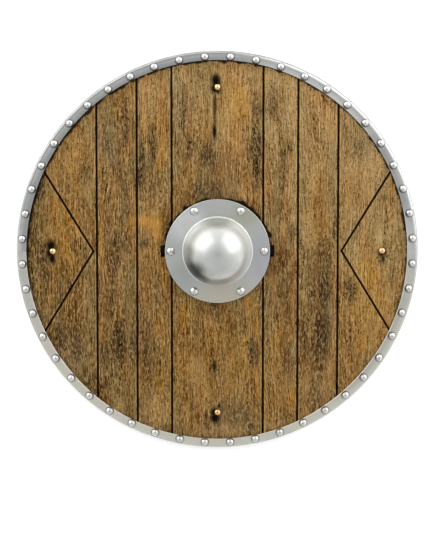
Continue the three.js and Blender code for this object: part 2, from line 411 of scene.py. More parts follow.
# %% [markdown]
# Marks are soft patches joined into one mask. A stain is a colour as it should look in the picture, where
# the studio's light on the face is about 1.3 times white. Arches are rings around a long, narrow ellipse,
# as the year rings look where a board is cut along the trunk.

# %% Write the helpers for wood
share_of_light = 0.765


def patch_at(position, across, up, half_width, half_height, strength=1.0):
    """A soft patch by its middle and its reach in millimetres."""
    placed = place_group(
        soft_patch, Position=position, Middle=(across, up, 0), Reach=(half_width, half_height, 1),
        Strength=strength)
    return placed["Mask"]


def marks(position, places):
    """All marks of one kind as one mask, on the face only."""
    patches = [patch_at(position, *place) for place in places]
    return times(join("MAXIMUM", patches), front)


def stain(red, green, blue):
    """A wood colour given as it should look in this studio."""
    return (*(part * share_of_light for part in paint(red, green, blue)[:3]), 1.0)


def arches(position, wobble, place, spacing, steepness):
    """Nested arches along an upright line: -1 to 1 across each ring, fading out at the patch's edge."""
    off_x, off_y, _ = axes(combine("SUBTRACT", position, (*place[:2], 0)))
    squared = scaled(off_x, off_x, 5.0)
    climb = scaled(calculate("SQRT", squared), steepness, off_y)
    climb = scaled(wobble, 2.0 * spacing, climb)
    wave = calculate("SINE", times(climb, 2 * math.pi / spacing))
    return times(wave, patch_at(position, *place))


# %% [markdown]
# The grain wanders a few millimetres to the side on its way up, and the edges of a stain follow the
# grain. Each pattern could be bent by itself, but it is simpler to push the place about once, before the
# patterns read it.

# %% Start the wood and push its places about
board_wood, tree, shader = new_material("stained board", Specular_IOR_Level=0.02)
place = millimetres(tree)
place_x, place_y, height = axes(place)
flat, radius = seen_flat(place)
front = span(height, 8, 11)

sideways = add_node(tree, "ShaderNodeCombineXYZ")
sway = centred(noise(place, (45, 150, 60), 1))
feed(sideways.inputs["X"], times(sway, 26.0))
grain_place = combine("ADD", place, sideways.outputs[0])

ragged = add_node(tree, "ShaderNodeTexNoise")
feed(ragged.inputs["Vector"], combine("DIVIDE", grain_place, (3.2, 26, 40)))
feed(ragged.inputs["Scale"], 1.0)
off_centre = combine("SUBTRACT", ragged.outputs["Color"], (0.5, 0.5, 0.5))
pushed = combine("MULTIPLY", off_centre, (4.5, 34, 0))


def pushed_by(share):
    """The flat place, pushed along the grain by a share of the full push."""
    return combine("ADD", flat, combine("MULTIPLY", pushed, share))


stain_place = pushed_by((1, 1, 0))
print("wood's places:", len(tree.nodes), "nodes")

# %% [markdown]
# The grain is a sum of noises, all stretched upright: broad bands, hair lines, streaks, short dashes and
# dots. Layers that mustn't lie on each other read a place farther off in the noise. The arches run through
# the strips where the photograph shows them.

# %% Draw the grain
broad = noise(grain_place, (22, 130, 40), 2)
middling = noise(grain_place, (5, 34, 40), 3, 0.6)
lines = noise(grain_place, (1.1, 48, 40), 2, 0.6)
dashes = noise(grain_place, (1.2, 11, 20), 1)
streaks = noise(combine("ADD", grain_place, (47, 5, 3)), (2.4, 34, 40), 2, 0.6)
dots = noise(combine("ADD", grain_place, (17, 59, 3)), (1.5, 3.8, 20), 0)
flecks = noise(combine("ADD", grain_place, (71, 33, 5)), (1.1, 7, 20), 0)
hue = noise(combine("ADD", grain_place, (11, 400, 9)), (20, 120, 30), 1)
thin_hue = noise(combine("ADD", grain_place, (31, 90, 9)), (1.6, 16, 30), 1)

# The patch of each set of arches, the rings' spacing and their steepness
arch_sets = (
    ((-97, 160, 16, 80), 8.0, 2.2), ((-141, 140, 18, 90), 8.0, 2.2), ((155, 150, 22, 75), 8.0, 2.4),
    ((98, 170, 16, 80), 7.5, 2.4), ((-10, 175, 30, 70), 9.0, 2.2), ((-96, -150, 20, 75), 8.5, 2.2),
    ((152, -130, 22, 90), 8.0, 2.3), ((12, -190, 34, 70), 9.0, 2.4), ((-225, 60, 22, 80), 8.0, 2.5),
    ((232, -20, 22, 90), 8.0, 2.4))
arch_lines = join("ADD", [arches(grain_place, broad, *arch_set) for arch_set in arch_sets])

# One tone from dark to light out of all the grain, a little lighter towards the upper right
tone = scaled(broad, 0.34, 0.300)
for layer, weight in ((middling, 0.04), (lines, 1.12), (dashes, 0.72), (dots, 0.12)):
    tone = scaled(centred(layer), weight, tone)
tone = scaled(arch_lines, -0.16, tone)
tone = calculate("ADD", tone, combine("DOT_PRODUCT", flat, (0.0003, 0.0003, 0)))
print("sets of arches:", len(arch_sets))

# %% [markdown]
# Three runs of colour go from dark to light: olive and tan for the plain wood, orange where the stain is
# strongest. The marks go over them from the widest to the smallest. The orange patch keeps a cleaner edge,
# so its place is pushed less.

# %% Colour the grain and lay down the marks
olive = ramp(tone, (
    (0.10, stain(36, 20, 2)), (0.34, stain(98, 75, 38)), (0.50, stain(134, 107, 61)),
    (0.66, stain(162, 134, 88)), (0.90, stain(198, 170, 126))))
tan = ramp(tone, (
    (0.10, stain(24, 4, 0)), (0.34, stain(104, 71, 29)), (0.50, stain(143, 104, 54)),
    (0.66, stain(173, 131, 78)), (0.90, stain(206, 164, 114))))
orange = ramp(tone, (
    (0.10, stain(66, 30, 0)), (0.34, stain(130, 86, 22)), (0.50, stain(168, 118, 42)),
    (0.66, stain(188, 140, 60)), (0.90, stain(214, 172, 98))))
warmth = scaled(thin_hue, 0.30, hue)
colour = mix(span(warmth, 0.53, 0.78), olive, tan)

for places, strength, tint in (
        (golden_marks, 0.80, orange), (grey_marks, 0.42, stain(124, 110, 84)),
        (pale_marks, 0.40, stain(200, 164, 110))):
    colour = mix(times(marks(stain_place, places), strength), colour, tint)
colour = mix(marks(stain_place, brown_marks), colour, paint(166, 140, 100), "MULTIPLY")
colour = mix(marks(stain_place, orange_marks), colour, orange)

patch = marks(pushed_by((0.6, 0.12, 0)), orange_patch)
patch_colour = mix(0.6, orange, stain(192, 138, 72))
colour = mix(times(patch, 0.9), colour, patch_colour)

in_streaks = span(streaks, 0.60, 0.42, 0.85, 1.25)
smoke = times(marks(stain_place, smoky_marks), in_streaks)
smoke = calculate("MINIMUM", smoke, 0.95)
colour = mix(smoke, colour, stain(62, 46, 26))
print("wood with its marks:", len(tree.nodes), "nodes")

# %% [markdown]
# Dark wax fills the pores, which stand in rows along the rings and thickly under the smoke. Each cell of a
# stretched Voronoi pattern holds one pore. A chance of its own and the grain around it set its size, and
# many cells get none. Between the pores lie a few light flecks.

# %% Open the pores
cells = add_node(tree, "ShaderNodeTexVoronoi", voronoi_dimensions="2D")
feed(cells.inputs["Vector"], combine("DIVIDE", grain_place, (1.7, 4.8, 1)))
feed(cells.inputs["Scale"], 1.0)
chance = add_node(tree, "ShaderNodeSeparateColor")
feed(chance.inputs[0], cells.outputs["Color"])
pore_size = scaled(chance.outputs[0], 0.56, -0.23)
for cause, weight in ((arch_lines, 0.34), (smoke, 0.20), (patch, -0.22), (centred(lines), -0.5)):
    pore_size = scaled(cause, weight, pore_size)
pores = span(calculate("SUBTRACT", cells.outputs["Distance"], pore_size), 0.06, -0.06)
colour = mix(times(pores, 0.95), colour, stain(22, 6, 0))
colour = mix(span(flecks, 0.56, 0.68, 0.0, 0.40), colour, stain(212, 174, 118))
print("wood with its pores:", len(tree.nodes), "nodes")

# %% [markdown]
# Wax and soot gather against the steel, where a cloth can't reach: a black line that comes and goes along
# the rim's lip and the flange. Along the lip it is also the lip's painted shadow, stronger on the upper
# side, and both lines lie inside a faint wide painted shade. Each depends on the distance from the middle,
# made uneven by noise. The nails have bled into the wood around them, and the heads' shadows are painted
# there too.

# %% Darken the wood along the steel
upper_side = span(place_y, -120, 160)
uneven = centred(noise(flat, (12, 12, 12), 2))
to_corner = times(calculate("ABSOLUTE", place_x), place_y)
to_corner = calculate("DIVIDE", to_corner, times(radius, radius))
to_side = calculate("DIVIDE", place_x, radius)

# Along the rim's lip: soot and the lip's painted shadow, stronger on the upper side, inside a faint painted
# shade
to_rim = scaled(uneven, 12.0, radius)
to_rim = scaled(times(to_side, to_side), 2.5, to_rim)
rim_line = times(span(to_rim, 287.5, 290.5), span(place_y, -160, 20, 0.25, 0.95))
rim_shade = times(span(radius, 276, 291), scaled(upper_side, 0.08, 0.08))

# Along the flange: soot in a black line, inside a faint painted shade that is stronger on the upper side
to_boss = scaled(uneven, -20.0, radius)
boss_line = times(span(to_boss, 86.4, 82.0), span(to_corner, -0.15, 0.30, 0.25, 1.0))
boss_shade = times(span(radius, 102, 80), scaled(upper_side, 0.20, 0.16))

# Soot together with painted shade, on the face only
soot_and_shade = times(join("MAXIMUM", (rim_line, boss_line, rim_shade, boss_shade)), front)
colour = mix(soot_and_shade, colour, paint(22, 15, 8))
# Nail stains, and the heads' painted shadows on the wood
colour = mix(marks(pushed_by((0.2, 0.1, 0)), nail_stains_and_shadows), colour, paint(16, 10, 6))
print("wood with its soot:", len(tree.nodes), "nodes")

# %% [markdown]
# The grooves are cut in the mesh, and here they turn black inside. Along their edges the wood is painted
# pale in places, partly as wear and partly as a painted highlight where the edge meets the light. Both
# follow the distance to the nearest groove, which for the chevrons is measured square to the slanting arms.

# %% Blacken the grooves and finish the wood
across = calculate("ABSOLUTE", place_x)
off_grooves = [calculate("ABSOLUTE", calculate("SUBTRACT", across, line)) for line in groove_lines]
arm_lean = math.atan2(chevron_end[0] - chevron_point, chevron_end[1])
off_arm = times(calculate("SUBTRACT", across, chevron_point), math.cos(arm_lean))
up_arm = times(calculate("ABSOLUTE", place_y), math.sin(arm_lean))
off_arm = calculate("ABSOLUTE", calculate("SUBTRACT", off_arm, up_arm))

# The arms end at their point, so inside it they count as far away
off_arm = calculate("ADD", off_arm, span(across, 187.5, 186.5, 0.0, 20.0))
beside = join("MINIMUM", (*off_grooves, off_arm))
beside = scaled(centred(dashes), 0.6, beside)

# Pale beside the grooves: wear, and a painted highlight along their edges
worn = times(span(beside, 4.0, 2.8), span(middling, 0.42, 0.60, 0.0, 0.40))
colour = mix(times(worn, front), colour, stain(196, 158, 104))
inside = times(span(beside, 2.2, 1.4), front)
colour = mix(inside, colour, stain(14, 3, 0))
feed(shader.inputs["Base Color"], colour)

gloss = scaled(middling, 0.25, 0.40)
feed(shader.inputs["Roughness"], scaled(pores, 0.2, gloss))
relief = scaled(pores, -1.0, times(lines, 0.8))
feed(shader.inputs["Normal"], bump(relief, 0.5, 0.35))
print("wood:", len(tree.nodes), "nodes")


# %% [markdown]
# ## The metals
#
# Steel has no colour of its own to speak of, so its finish is mostly roughness: the sheet is rubbed dull,
# and the heads are polished by wear. All five metals share handling marks and fine scratches, so one
# function starts them, and each then gets what it has alone.

# %% Write the helpers for metals
def metal(name, light, dark, roughness, cloud_size, scratch_amount, relief_mm, metallic=1.0):
    """A metal whose colour and roughness change over handling marks and fine scratches."""
    material, tree, shader = new_material(name, Metallic=metallic)
    place = millimetres(tree)
    worn = place_group(handling, Position=place, Size=cloud_size)
    lines = place_group(scratches, Position=place, Amount=scratch_amount)
    colour = mix(worn["Mask"], paint(*dark), paint(*light))
    colour = mix(times(worn["Specks"], 0.35), colour, paint(*dark))
    rough = scaled(worn["Mask"], -0.08, roughness + 0.04)
    feed(shader.inputs["Roughness"], scaled(lines["Mask"], 0.12, rough))
    feed(shader.inputs["Normal"], bump(lines["Height"], 0.35, relief_mm))
    return material, tree, shader, place, colour


def under_head(place, base):
    """Grime and painted shade along the lower edge of a head that stands at this height."""
    above = base / mm
    return span(axes(place)[2], above + 0.9, above + 0.1, 0.0, 0.85)


# %% [markdown]
# The rim mirrors a different part of the room at each angle, and these reflections are painted into its
# colour: broad sectors of it are painted darker, bluish or bright, mostly on its inner half and along its
# outer bend, its near side is painted creamy, and its outer wall is painted in shade. Around each nail head
# the rim is darkened by grime and by painted shade in the corner under the head, most towards the wood.
# Its mask finds the nearest nail by the angle around the rim.

# %% Make the rim's steel
rim_nail_count = 48
rim_nail_circle = 297.5 * mm

rim_steel, tree, shader, place, colour = metal(
    "satin steel rim", (197, 196, 190), (174, 175, 171), 0.34, 26, 0.8, 0.05, 0.85)
place_x, place_y, height = axes(place)
radius = seen_flat(place)[1]
turn = calculate("ARCTAN2", place_y, place_x)
# Painted reflection: the rim's near side is painted creamy
creamy_reflection = span(place_y, 60, -180, 0.0, 0.55)
colour = mix(creamy_reflection, colour, paint(214, 206, 186))

inner_half = span(radius, 301, 293)
outer_bend = times(span(radius, 300.2, 301.6), span(radius, 304.2, 303.2))

# Painted reflections and highlights of the room on the rim, sector by sector
# Middle angle and half width in degrees, where, tint and strength
reflection_sectors = (
    (125, 52, inner_half, (120, 121, 128), 0.50), (125, 46, outer_bend, (140, 141, 146), 0.60),
    (24, 14, inner_half, (128, 128, 130), 0.40), (60, 20, inner_half, (226, 226, 222), 0.45),
    (40, 38, outer_bend, (255, 255, 252), 0.75), (178, 14, inner_half, (140, 142, 148), 0.50),
    (-32, 20, inner_half, (164, 160, 152), 0.50))
for heading, half_width, where, tint, strength in reflection_sectors:
    off_middle = calculate("ABSOLUTE", calculate("SUBTRACT", turn, math.radians(heading)))
    fading = math.radians(half_width * 1.3), math.radians(half_width * 0.6)
    shown = times(span(off_middle, *fading, 0.0, strength), where)
    colour = mix(shown, colour, paint(*tint))
# Painted shade on the rim's outer wall
wall_shade = span(radius, 303.6, 304.6, 0.0, 0.6)
colour = mix(wall_shade, colour, paint(110, 110, 108))

circle = rim_nail_circle / mm
turns = times(turn, rim_nail_count / (2 * math.pi))
off_nail = centred(calculate("SUBTRACT", turns, calculate("FLOOR", turns)))
around = times(off_nail, 2 * math.pi / rim_nail_count * circle)
outwards = calculate("SUBTRACT", radius, circle)
squared = scaled(around, around, times(outwards, outwards))
# Grime and painted shade around each nail head, strongest on the side towards the wood
grime_and_shade = span(calculate("SQRT", squared), 7.6, 5.6, 0.0, 0.85)
grime_and_shade = times(grime_and_shade, span(outwards, 3.0, -5.0, 0.55, 1.0))
grime_and_shade = times(grime_and_shade, span(height, 15.0, 16.4))
colour = mix(grime_and_shade, colour, paint(58, 50, 42))
feed(shader.inputs["Base Color"], colour)
print("rim's sectors:", len(reflection_sectors))

# %% [markdown]
# The boss mirrors the room too, and part of that is painted into its colour. Soft tints paint reflections
# on the flange, so that it doesn't look like one even grey, and paint the dome darker in a crescent at its
# lower left, a band at its top and a patch near its bottom. The bead round the dome's foot is rubbed bright.
# The steep foot itself was rubbed across and scatters more light, so it is less metallic, and its upper
# side is painted a little paler as painted light.

# %% Make the boss's steel
boss_steel, tree, shader, place, colour = metal(
    "satin steel boss", (192, 192, 187), (182, 183, 178), 0.33, 40, 0.7, 0.03)
_, place_y, height = axes(place)
flat, radius = seen_flat(place)
on_dome = span(height, 17, 19)
on_flange = calculate("SUBTRACT", 1.0, on_dome)

# Painted reflections of the room: tints on the flange, dark patches on the dome
# Middle across, middle up, half width, half height, strength and tint
flange_reflections = (
    ((-52, 50, 40, 30, 0.5), (176, 182, 188)), ((44, 58, 26, 22, 0.5), (172, 170, 142)),
    ((70, -10, 18, 44, 0.5), (174, 170, 184)), ((8, -70, 50, 26, 0.5), (190, 178, 150)),
    ((-56, -44, 24, 28, 0.5), (158, 164, 160)), ((-46, 42, 30, 30, 0.6), (226, 226, 222)))
dome_reflections = (
    ((0, 50, 30, 9, 0.9), (88, 92, 68)), ((-46, -14, 10, 12, 0.6), (56, 60, 58)),
    ((-36, -25, 17, 16, 0.9), (40, 46, 42)), ((-26, -39, 14, 11, 0.7), (50, 56, 52)),
    ((-46, 4, 11, 14, 0.6), (86, 90, 88)), ((0, -44, 30, 9, 0.4), (150, 150, 144)))
for where, tints in ((on_flange, flange_reflections), (on_dome, dome_reflections)):
    for patch_place, tint in tints:
        shown = times(patch_at(flat, *patch_place), where)
        colour = mix(shown, colour, paint(*tint))

on_bead = times(span(radius, 52.3, 52.7), span(radius, 53.8, 53.4))
colour = mix(on_bead, colour, paint(250, 250, 246))
foot = times(on_dome, span(height, 64, 38))
# Painted light: the foot's upper side is painted paler
lit_foot = times(foot, span(place_y, -30, 25, 0.0, 0.3))
feed(shader.inputs["Base Color"], mix(lit_foot, colour, paint(222, 222, 216)))
feed(shader.inputs["Metallic"], scaled(foot, -0.55, 0.86))
print("boss's tints:", len(flange_reflections) + len(dome_reflections))

# %% [markdown]
# The heads are polished, with grime and painted shade along their lower edges. On the rim's nails a painted
# reflection of the wood also darkens the side towards the wood. The brass is dulled brown where a cloth
# doesn't reach, and the bar is blackened by heat and oil.

# %% Make the metal of the heads and the bar
bright_steel, tree, shader, place, colour = metal(
    "polished steel heads", (216, 215, 211), (186, 185, 182), 0.25, 5, 0.5, 0.02)
# Grime and painted shade along the foot of each steel head
colour = mix(under_head(place, head_on_steel), colour, paint(60, 54, 47))
radius = seen_flat(place)[1]
# Painted reflection of the brown wood on the inner side of each rim nail's head
wood_reflection = times(span(radius, 296.0, 292.6, 0.0, 0.75), span(radius, 280, 290))
colour = mix(wood_reflection, colour, paint(64, 54, 44))
feed(shader.inputs["Base Color"], colour)

brass_metal, tree, shader, place, colour = metal(
    "dulled brass", (246, 208, 154), (192, 142, 84), 0.19, 5, 0.6, 0.02)
# Grime and painted shade along the foot of each brass head
colour = mix(under_head(place, head_on_board), colour, paint(38, 22, 10))
feed(shader.inputs["Base Color"], colour)

black_steel, tree, shader, place, colour = metal(
    "blackened steel", (24, 22, 21), (12, 11, 11), 0.62, 12, 0.6, 0.05)
feed(shader.inputs["Base Color"], colour)

print("materials:", [material.name for material in bpy.data.materials])


# %% [markdown]
# ## The board
#
# A router cut the real board's grooves. Here a flat disc is cut along the groove's lines, the strips
# between the lines are pushed down, and the new top edges are bevelled, as a router bit eases them. A
# boolean would do it too, but cutting keeps every face clean.

# %% Write the helpers for the board
cut_distance = 0.001 * mm
close_enough = 0.01 * mm


def middle(face):
    """The middle of a face."""
    return face.calc_center_median()


def on_top(bm):
    """The faces of the board's face."""
    return [face for face in bm.faces
            if all(vert.co.z > board_face - close_enough for vert in face.verts)]


def cut(bm, faces, point, normal):
    """Cut these faces along a plane."""
    edges = {edge for face in faces for edge in face.edges}
    verts = {vert for face in faces for vert in face.verts}
    bmesh.ops.bisect_plane(
        bm, geom=[*faces, *edges, *verts], dist=cut_distance, plane_co=point, plane_no=normal)


def only_verts(items):
    """The vertices among what an operator gives back."""
    return [item for item in items if isinstance(item, bmesh.types.BMVert)]


def moved_down(bm, faces, depth):
    """Push a region of faces down and leave walls around it."""
    extruded = bmesh.ops.extrude_face_region(bm, geom=faces)
    bmesh.ops.translate(bm, verts=only_verts(extruded["geom"]), vec=(0, 0, -depth))
    leftover = [face for face in faces if face.is_valid]
    bmesh.ops.delete(bm, geom=leftover, context="FACES_ONLY")
    return [item for item in extruded["geom"] if isinstance(item, bmesh.types.BMFace)]


def ease(bm, geometry, offset, segments, affect="EDGES"):
    """Round these edges or corners."""
    bmesh.ops.bevel(
        bm, geom=geometry, offset=offset, offset_type="OFFSET", segments=segments, profile=0.5,
        affect=affect, clamp_overlap=True, material=-1)


# %% [markdown]
# The disc starts flat. A square window is cut in its middle and bridged to the round hand hole, so that no
# face is left with a hole in it. Then the disc gets its thickness, and is cut at the sides of the recess
# and at the depths of the grooves and the recess.

# %% Cut the disc
groove_half = 1.1 * mm
groove_depth = 4 * mm
groove_end = 300 * mm
hand_hole_radius = 48 * mm
window_half = 60 * mm
recess_half_length = 86.4 * mm
recess_half_width = 9.1 * mm
recess_depth = 7.8 * mm
board_radius = shield_radius - sheet_steel - fit_gap
board_sides = 192
hole_sides = 96

bm = bmesh.new()
bmesh.ops.create_circle(bm, cap_ends=True, segments=board_sides, radius=groove_end)
disc_edges = bm.edges[:]
bmesh.ops.create_circle(bm, segments=board_sides, radius=board_radius)
outer_edges = [edge for edge in bm.edges if edge not in set(disc_edges)]
bmesh.ops.bridge_loops(bm, edges=disc_edges + outer_edges)

for side in (-1, 1):
    cut(bm, bm.faces[:], (side * window_half, 0, 0), (1, 0, 0))
    cut(bm, bm.faces[:], (0, side * window_half, 0), (0, 1, 0))
window = min(bm.faces, key=lambda face: middle(face).length)
window_edges = window.edges[:]
bmesh.ops.delete(bm, geom=[window], context="FACES_ONLY")
bmesh.ops.subdivide_edges(bm, edges=window_edges, cuts=hole_sides // 4 - 1)
window_edges = [edge for edge in bm.edges if len(edge.link_faces) == 1
                and max(vert.co.xy.length for vert in edge.verts) < 2 * window_half]
known = set(bm.edges)
bmesh.ops.create_circle(bm, segments=hole_sides, radius=hand_hole_radius)
hole_edges = [edge for edge in bm.edges if edge not in known]
bmesh.ops.bridge_loops(bm, edges=window_edges + hole_edges)
print("flat board:", len(bm.faces), "faces")

bmesh.ops.translate(bm, verts=bm.verts, vec=(0, 0, board_back))
raised = bmesh.ops.extrude_face_region(bm, geom=bm.faces[:])["geom"]
bmesh.ops.translate(bm, verts=only_verts(raised), vec=(0, 0, board_thickness))
for side in (-1, 1):
    cut(bm, bm.faces[:], (side * recess_half_length, 0, 0), (1, 0, 0))
    cut(bm, bm.faces[:], (0, side * recess_half_width, 0), (0, 1, 0))
for depth in (groove_depth, recess_depth):
    cut(bm, bm.faces[:], (0, 0, board_face - depth), (0, 0, 1))
print("thick board:", len(bm.faces), "faces")

# %% [markdown]
# The straight grooves run from top to bottom. The chevrons have a mitred point, so each arm is cut only in
# its own quarter of the outer strip. The cuts come first, while the face is still flat, and only then is
# anything sunk.

# %% Cut along the grooves
for line in groove_lines:
    for edge_line in (line * mm - groove_half, line * mm + groove_half):
        for side in (-1, 1):
            cut(bm, on_top(bm), (side * edge_line, 0, 0), (1, 0, 0))

outer_line = groove_lines[-1] * mm + groove_half
outer_strips = [face for face in on_top(bm) if abs(middle(face).x) > outer_line]
cut(bm, outer_strips, (0, 0, 0), (0, 1, 0))
chevron_apex = chevron_point * mm
chevron_run = Vector((chevron_end[0] * mm - chevron_apex, chevron_end[1] * mm, 0))
arm_direction = chevron_run.normalized()
mitre_half = groove_half / arm_direction.y
for across in (-1, 1):
    for up in (-1, 1):
        normal = Vector((across * arm_direction.y, -up * arm_direction.x, 0))
        for shift in (-mitre_half, mitre_half):
            quarter = [face for face in on_top(bm)
                       if across * middle(face).x > outer_line
                       and up * middle(face).y > 0]
            cut(bm, quarter, (across * (chevron_apex + shift), 0, 0), normal)
print("face cut along the grooves:", len(on_top(bm)), "faces")


# %% [markdown]
# Each face on top is sorted by where its middle lies. The grooves and the recess go down together to the
# grooves' depth, and the recess then goes on to its own. Where the recess meets the hand hole its end wall
# is taken out. The old faces are deleted but their inner edges stay behind, so those go too.

# %% Sink the grooves and the recess
def in_groove(place):
    """Whether a point of the face lies over a groove."""
    across, up = abs(place.x), abs(place.y)
    if place.xy.length > groove_end:
        return False
    if any(abs(across - line * mm) < groove_half for line in groove_lines):
        return True
    beside_arm = (across - chevron_apex) * arm_direction.y - up * arm_direction.x
    return across > outer_line and abs(beside_arm) < groove_half


def in_recess(place):
    """Whether a point of the face lies over the grip bar's recess."""
    return abs(place.x) < recess_half_length and abs(place.y) < recess_half_width


sunk = [face for face in on_top(bm)
        if in_groove(middle(face)) or in_recess(middle(face))]
floors = moved_down(bm, sunk, groove_depth)
moved_down(bm, [face for face in floors if in_recess(middle(face))], recess_depth - groove_depth)

hole_wall = [face for face in bm.faces
             if middle(face).xy.length < hand_hole_radius + 0.1 * mm
             and abs(middle(face).y) < recess_half_width
             and middle(face).z > board_face - recess_depth]
bmesh.ops.delete(bm, geom=hole_wall, context="FACES")
bmesh.ops.remove_doubles(bm, verts=bm.verts, dist=merge_distance)
bare_edges = [edge for edge in bm.edges if not edge.link_faces]
bmesh.ops.delete(bm, geom=bare_edges, context="EDGES")
bmesh.ops.recalc_face_normals(bm, faces=bm.faces)
open_edges = [edge for edge in bm.edges if len(edge.link_faces) != 2]
print("open or doubled edges on the board:", len(open_edges))

# %% [markdown]
# A sharp edge catches no light, so the groove mouths are eased. Only edges of the face that turn down
# steeply are taken, between the hand hole and the rim. The back edge of the hand hole is eased for the
# fingers.

# %% Ease the grooves and the hand hole
groove_ease = 0.8 * mm
hole_ease = 1.5 * mm
steep_angle = 1.2


def from_axis(edge):
    """How far an edge's middle lies from the shield's middle."""
    return ((edge.verts[0].co + edge.verts[1].co) / 2).xy.length


mouths = [edge for edge in bm.edges
          if len(edge.link_faces) == 2 and edge.calc_face_angle() > steep_angle
          and all(vert.co.z > board_face - close_enough for vert in edge.verts)
          and window_half + 5 * mm < from_axis(edge) < groove_end - mm]
ease(bm, mouths, groove_ease, 3)
back_edge = [edge for edge in bm.edges
             if all(vert.co.z < board_back + close_enough
                    and abs(vert.co.xy.length - hand_hole_radius) < 0.1 * mm for vert in edge.verts)]
ease(bm, back_edge, hole_ease, 3)
board = make_piece("wooden_board", bm, board_wood, ["board"])
print("board:", len(board.data.polygons), "faces")


# %% [markdown]
# ## The rim
#
# A strip of sheet steel was folded round the board's edge and hammered close, so its inner lip wanders a
# little. The strip's section is drawn as a wire, its bends are rounded with a vertex bevel, and the wire
# is spun around the middle. Then the lip is moved in and out by a slow wave.

# %% Write the helpers for spun pieces
def wire(bm, corners, closed=False):
    """A chain of edges through (radius, height, easing) corners, with each corner rounded by its easing."""
    verts = [bm.verts.new((radius, 0, height)) for radius, height, easing in corners]
    following = verts[1:] + verts[:1] if closed else verts[1:]
    for first, second in zip(verts, following):
        bm.edges.new((first, second))
    for vert, (radius, height, easing) in zip(verts, corners):
        if easing > 0:
            ease(bm, [vert], easing, 5, "VERTICES")


def spin_around(bm, steps):
    """Spin everything once around the Z axis."""
    bmesh.ops.spin(
        bm, geom=bm.verts[:] + bm.edges[:], cent=(0, 0, 0), axis=(0, 0, 1), angle=2 * math.pi,
        steps=steps, use_merge=True)
    bmesh.ops.remove_doubles(bm, verts=bm.verts, dist=merge_distance)


# %% Spin the rim
rim_width = 14.5 * mm
rim_bend = 2.6 * mm
lip = shield_radius - rim_width
wall = shield_radius - sheet_steel
lip_give = 4 * mm

bm = bmesh.new()
wire(bm, [
    (lip, 0, 0.5 * mm), (lip + rim_bend, 0, 0), (shield_radius - 1.6 * rim_bend, 0, 0),
    (shield_radius, 0, rim_bend), (shield_radius, steel_face, rim_bend),
    (shield_radius - 1.6 * rim_bend, steel_face, 0), (lip + rim_bend, steel_face, 0),
    (lip, steel_face, 1.3 * mm), (lip, steel_back, 0), (wall, steel_back, 0), (wall, sheet_steel, 0),
    (lip, sheet_steel, 0),
], closed=True)
spin_around(bm, 240)
for vert in bm.verts:
    inwards = 1 - min(1, (vert.co.xy.length - lip) / lip_give)
    if inwards > 0 and vert.co.z > board_back:
        turn = math.atan2(vert.co.y, vert.co.x)
        slow_wave = -0.3 + 0.75 * math.cos(turn) + 1.05 * math.cos(2 * turn)
        widening = (slow_wave + 0.25 * math.sin(7 * turn + 1)) * mm
        vert.co.xy -= vert.co.xy.normalized() * widening * inwards
rim = make_piece("folded_rim", bm, rim_steel, ["rim"])
print("rim:", len(rim.data.polygons), "faces")


# %% [markdown]
# ## The boss
#
# The boss is one sheet pressed into a dome, with a flat flange left around it. A vertex spun about a point
# gives an arc, and an outer and an inner arc joined by the flange give the sheet's whole section. A thin
# bead runs round the dome's foot. The boss is open at the back for the fist.

# %% Spin the boss
def arc(bm, start, centre, angle, steps):
    """Spin one vertex into an arc, and give back the last vertex."""
    spun = bmesh.ops.spin(
        bm, geom=[start], cent=centre, axis=(0, -1, 0), angle=angle, steps=steps, use_duplicate=False)
    return only_verts(spun["geom_last"])[0]


flange_radius = 80 * mm
dome_radius = 52.5 * mm
dome_fillet = 1.5 * mm
dome_centre = (0, 0, steel_face + dome_fillet)
bead_height = 0.7 * mm
bead_width = 1.1 * mm

bead_radius = dome_radius + bead_width
bead_top = steel_face + bead_height

bm = bmesh.new()
wire(bm, [
    (dome_radius, steel_face + dome_fillet, 0), (dome_radius, bead_top, 0),
    (bead_radius, bead_top, 0.4 * mm), (bead_radius, steel_face, 0.2 * mm),
    (bead_radius + bead_width, steel_face, 0), (flange_radius - bead_width, steel_face, 0),
    (flange_radius, steel_face, 0.8 * mm), (flange_radius, steel_back, 0.3 * mm),
    (dome_radius - sheet_steel, steel_back, 0.9 * mm),
    (dome_radius - sheet_steel, steel_face + dome_fillet, 0),
])
bm.verts.ensure_lookup_table()
feet = [vert for vert in bm.verts if len(vert.link_edges) == 1]
for foot in feet:
    arc(bm, foot, dome_centre, math.pi / 2, 28)
for vert in bm.verts:
    if vert.co.x < 0.01 * mm:
        vert.co.x = 0
spin_around(bm, 144)
boss = make_piece("domed_boss", bm, boss_steel, ["boss"])
print("boss:", len(boss.data.polygons), "faces")


# %% [markdown]
# ## Nails and rivets
#
# All heads are caps of a ball. A nail has a square shank that ends in the wood. A rivet goes through the
# board and is spread to a flat tail at the back. Each is made about the Z axis and then moved and turned
# to its place.

# %% Write the fasteners
def cap_profile(bm, head_radius, head_height, base, steps=7):
    """The section of a ball's cap, from its edge up to the axis."""
    ball = (head_radius ** 2 + head_height ** 2) / (2 * head_height)
    edge_angle = math.asin(head_radius / ball)
    edge = bm.verts.new((head_radius, 0, base))
    top = arc(bm, edge, (0, 0, base + head_height - ball), edge_angle, steps)
    top.co.x = 0
    return edge


def placed(bm, radius, angle):
    """Move a fastener out to its circle and turn it with the circle."""
    turn = Matrix.Rotation(angle, 4, "Z") @ Matrix.Translation((radius, 0, 0))
    bmesh.ops.transform(bm, matrix=turn, verts=bm.verts)
    return bm


def block(bm, size, height):
    """A plain block of this size, with its middle on the axis at this height."""
    stretched = Matrix.Translation((0, 0, height)) @ Matrix.Diagonal((*size, 1))
    bmesh.ops.create_cube(bm, size=1, matrix=stretched)


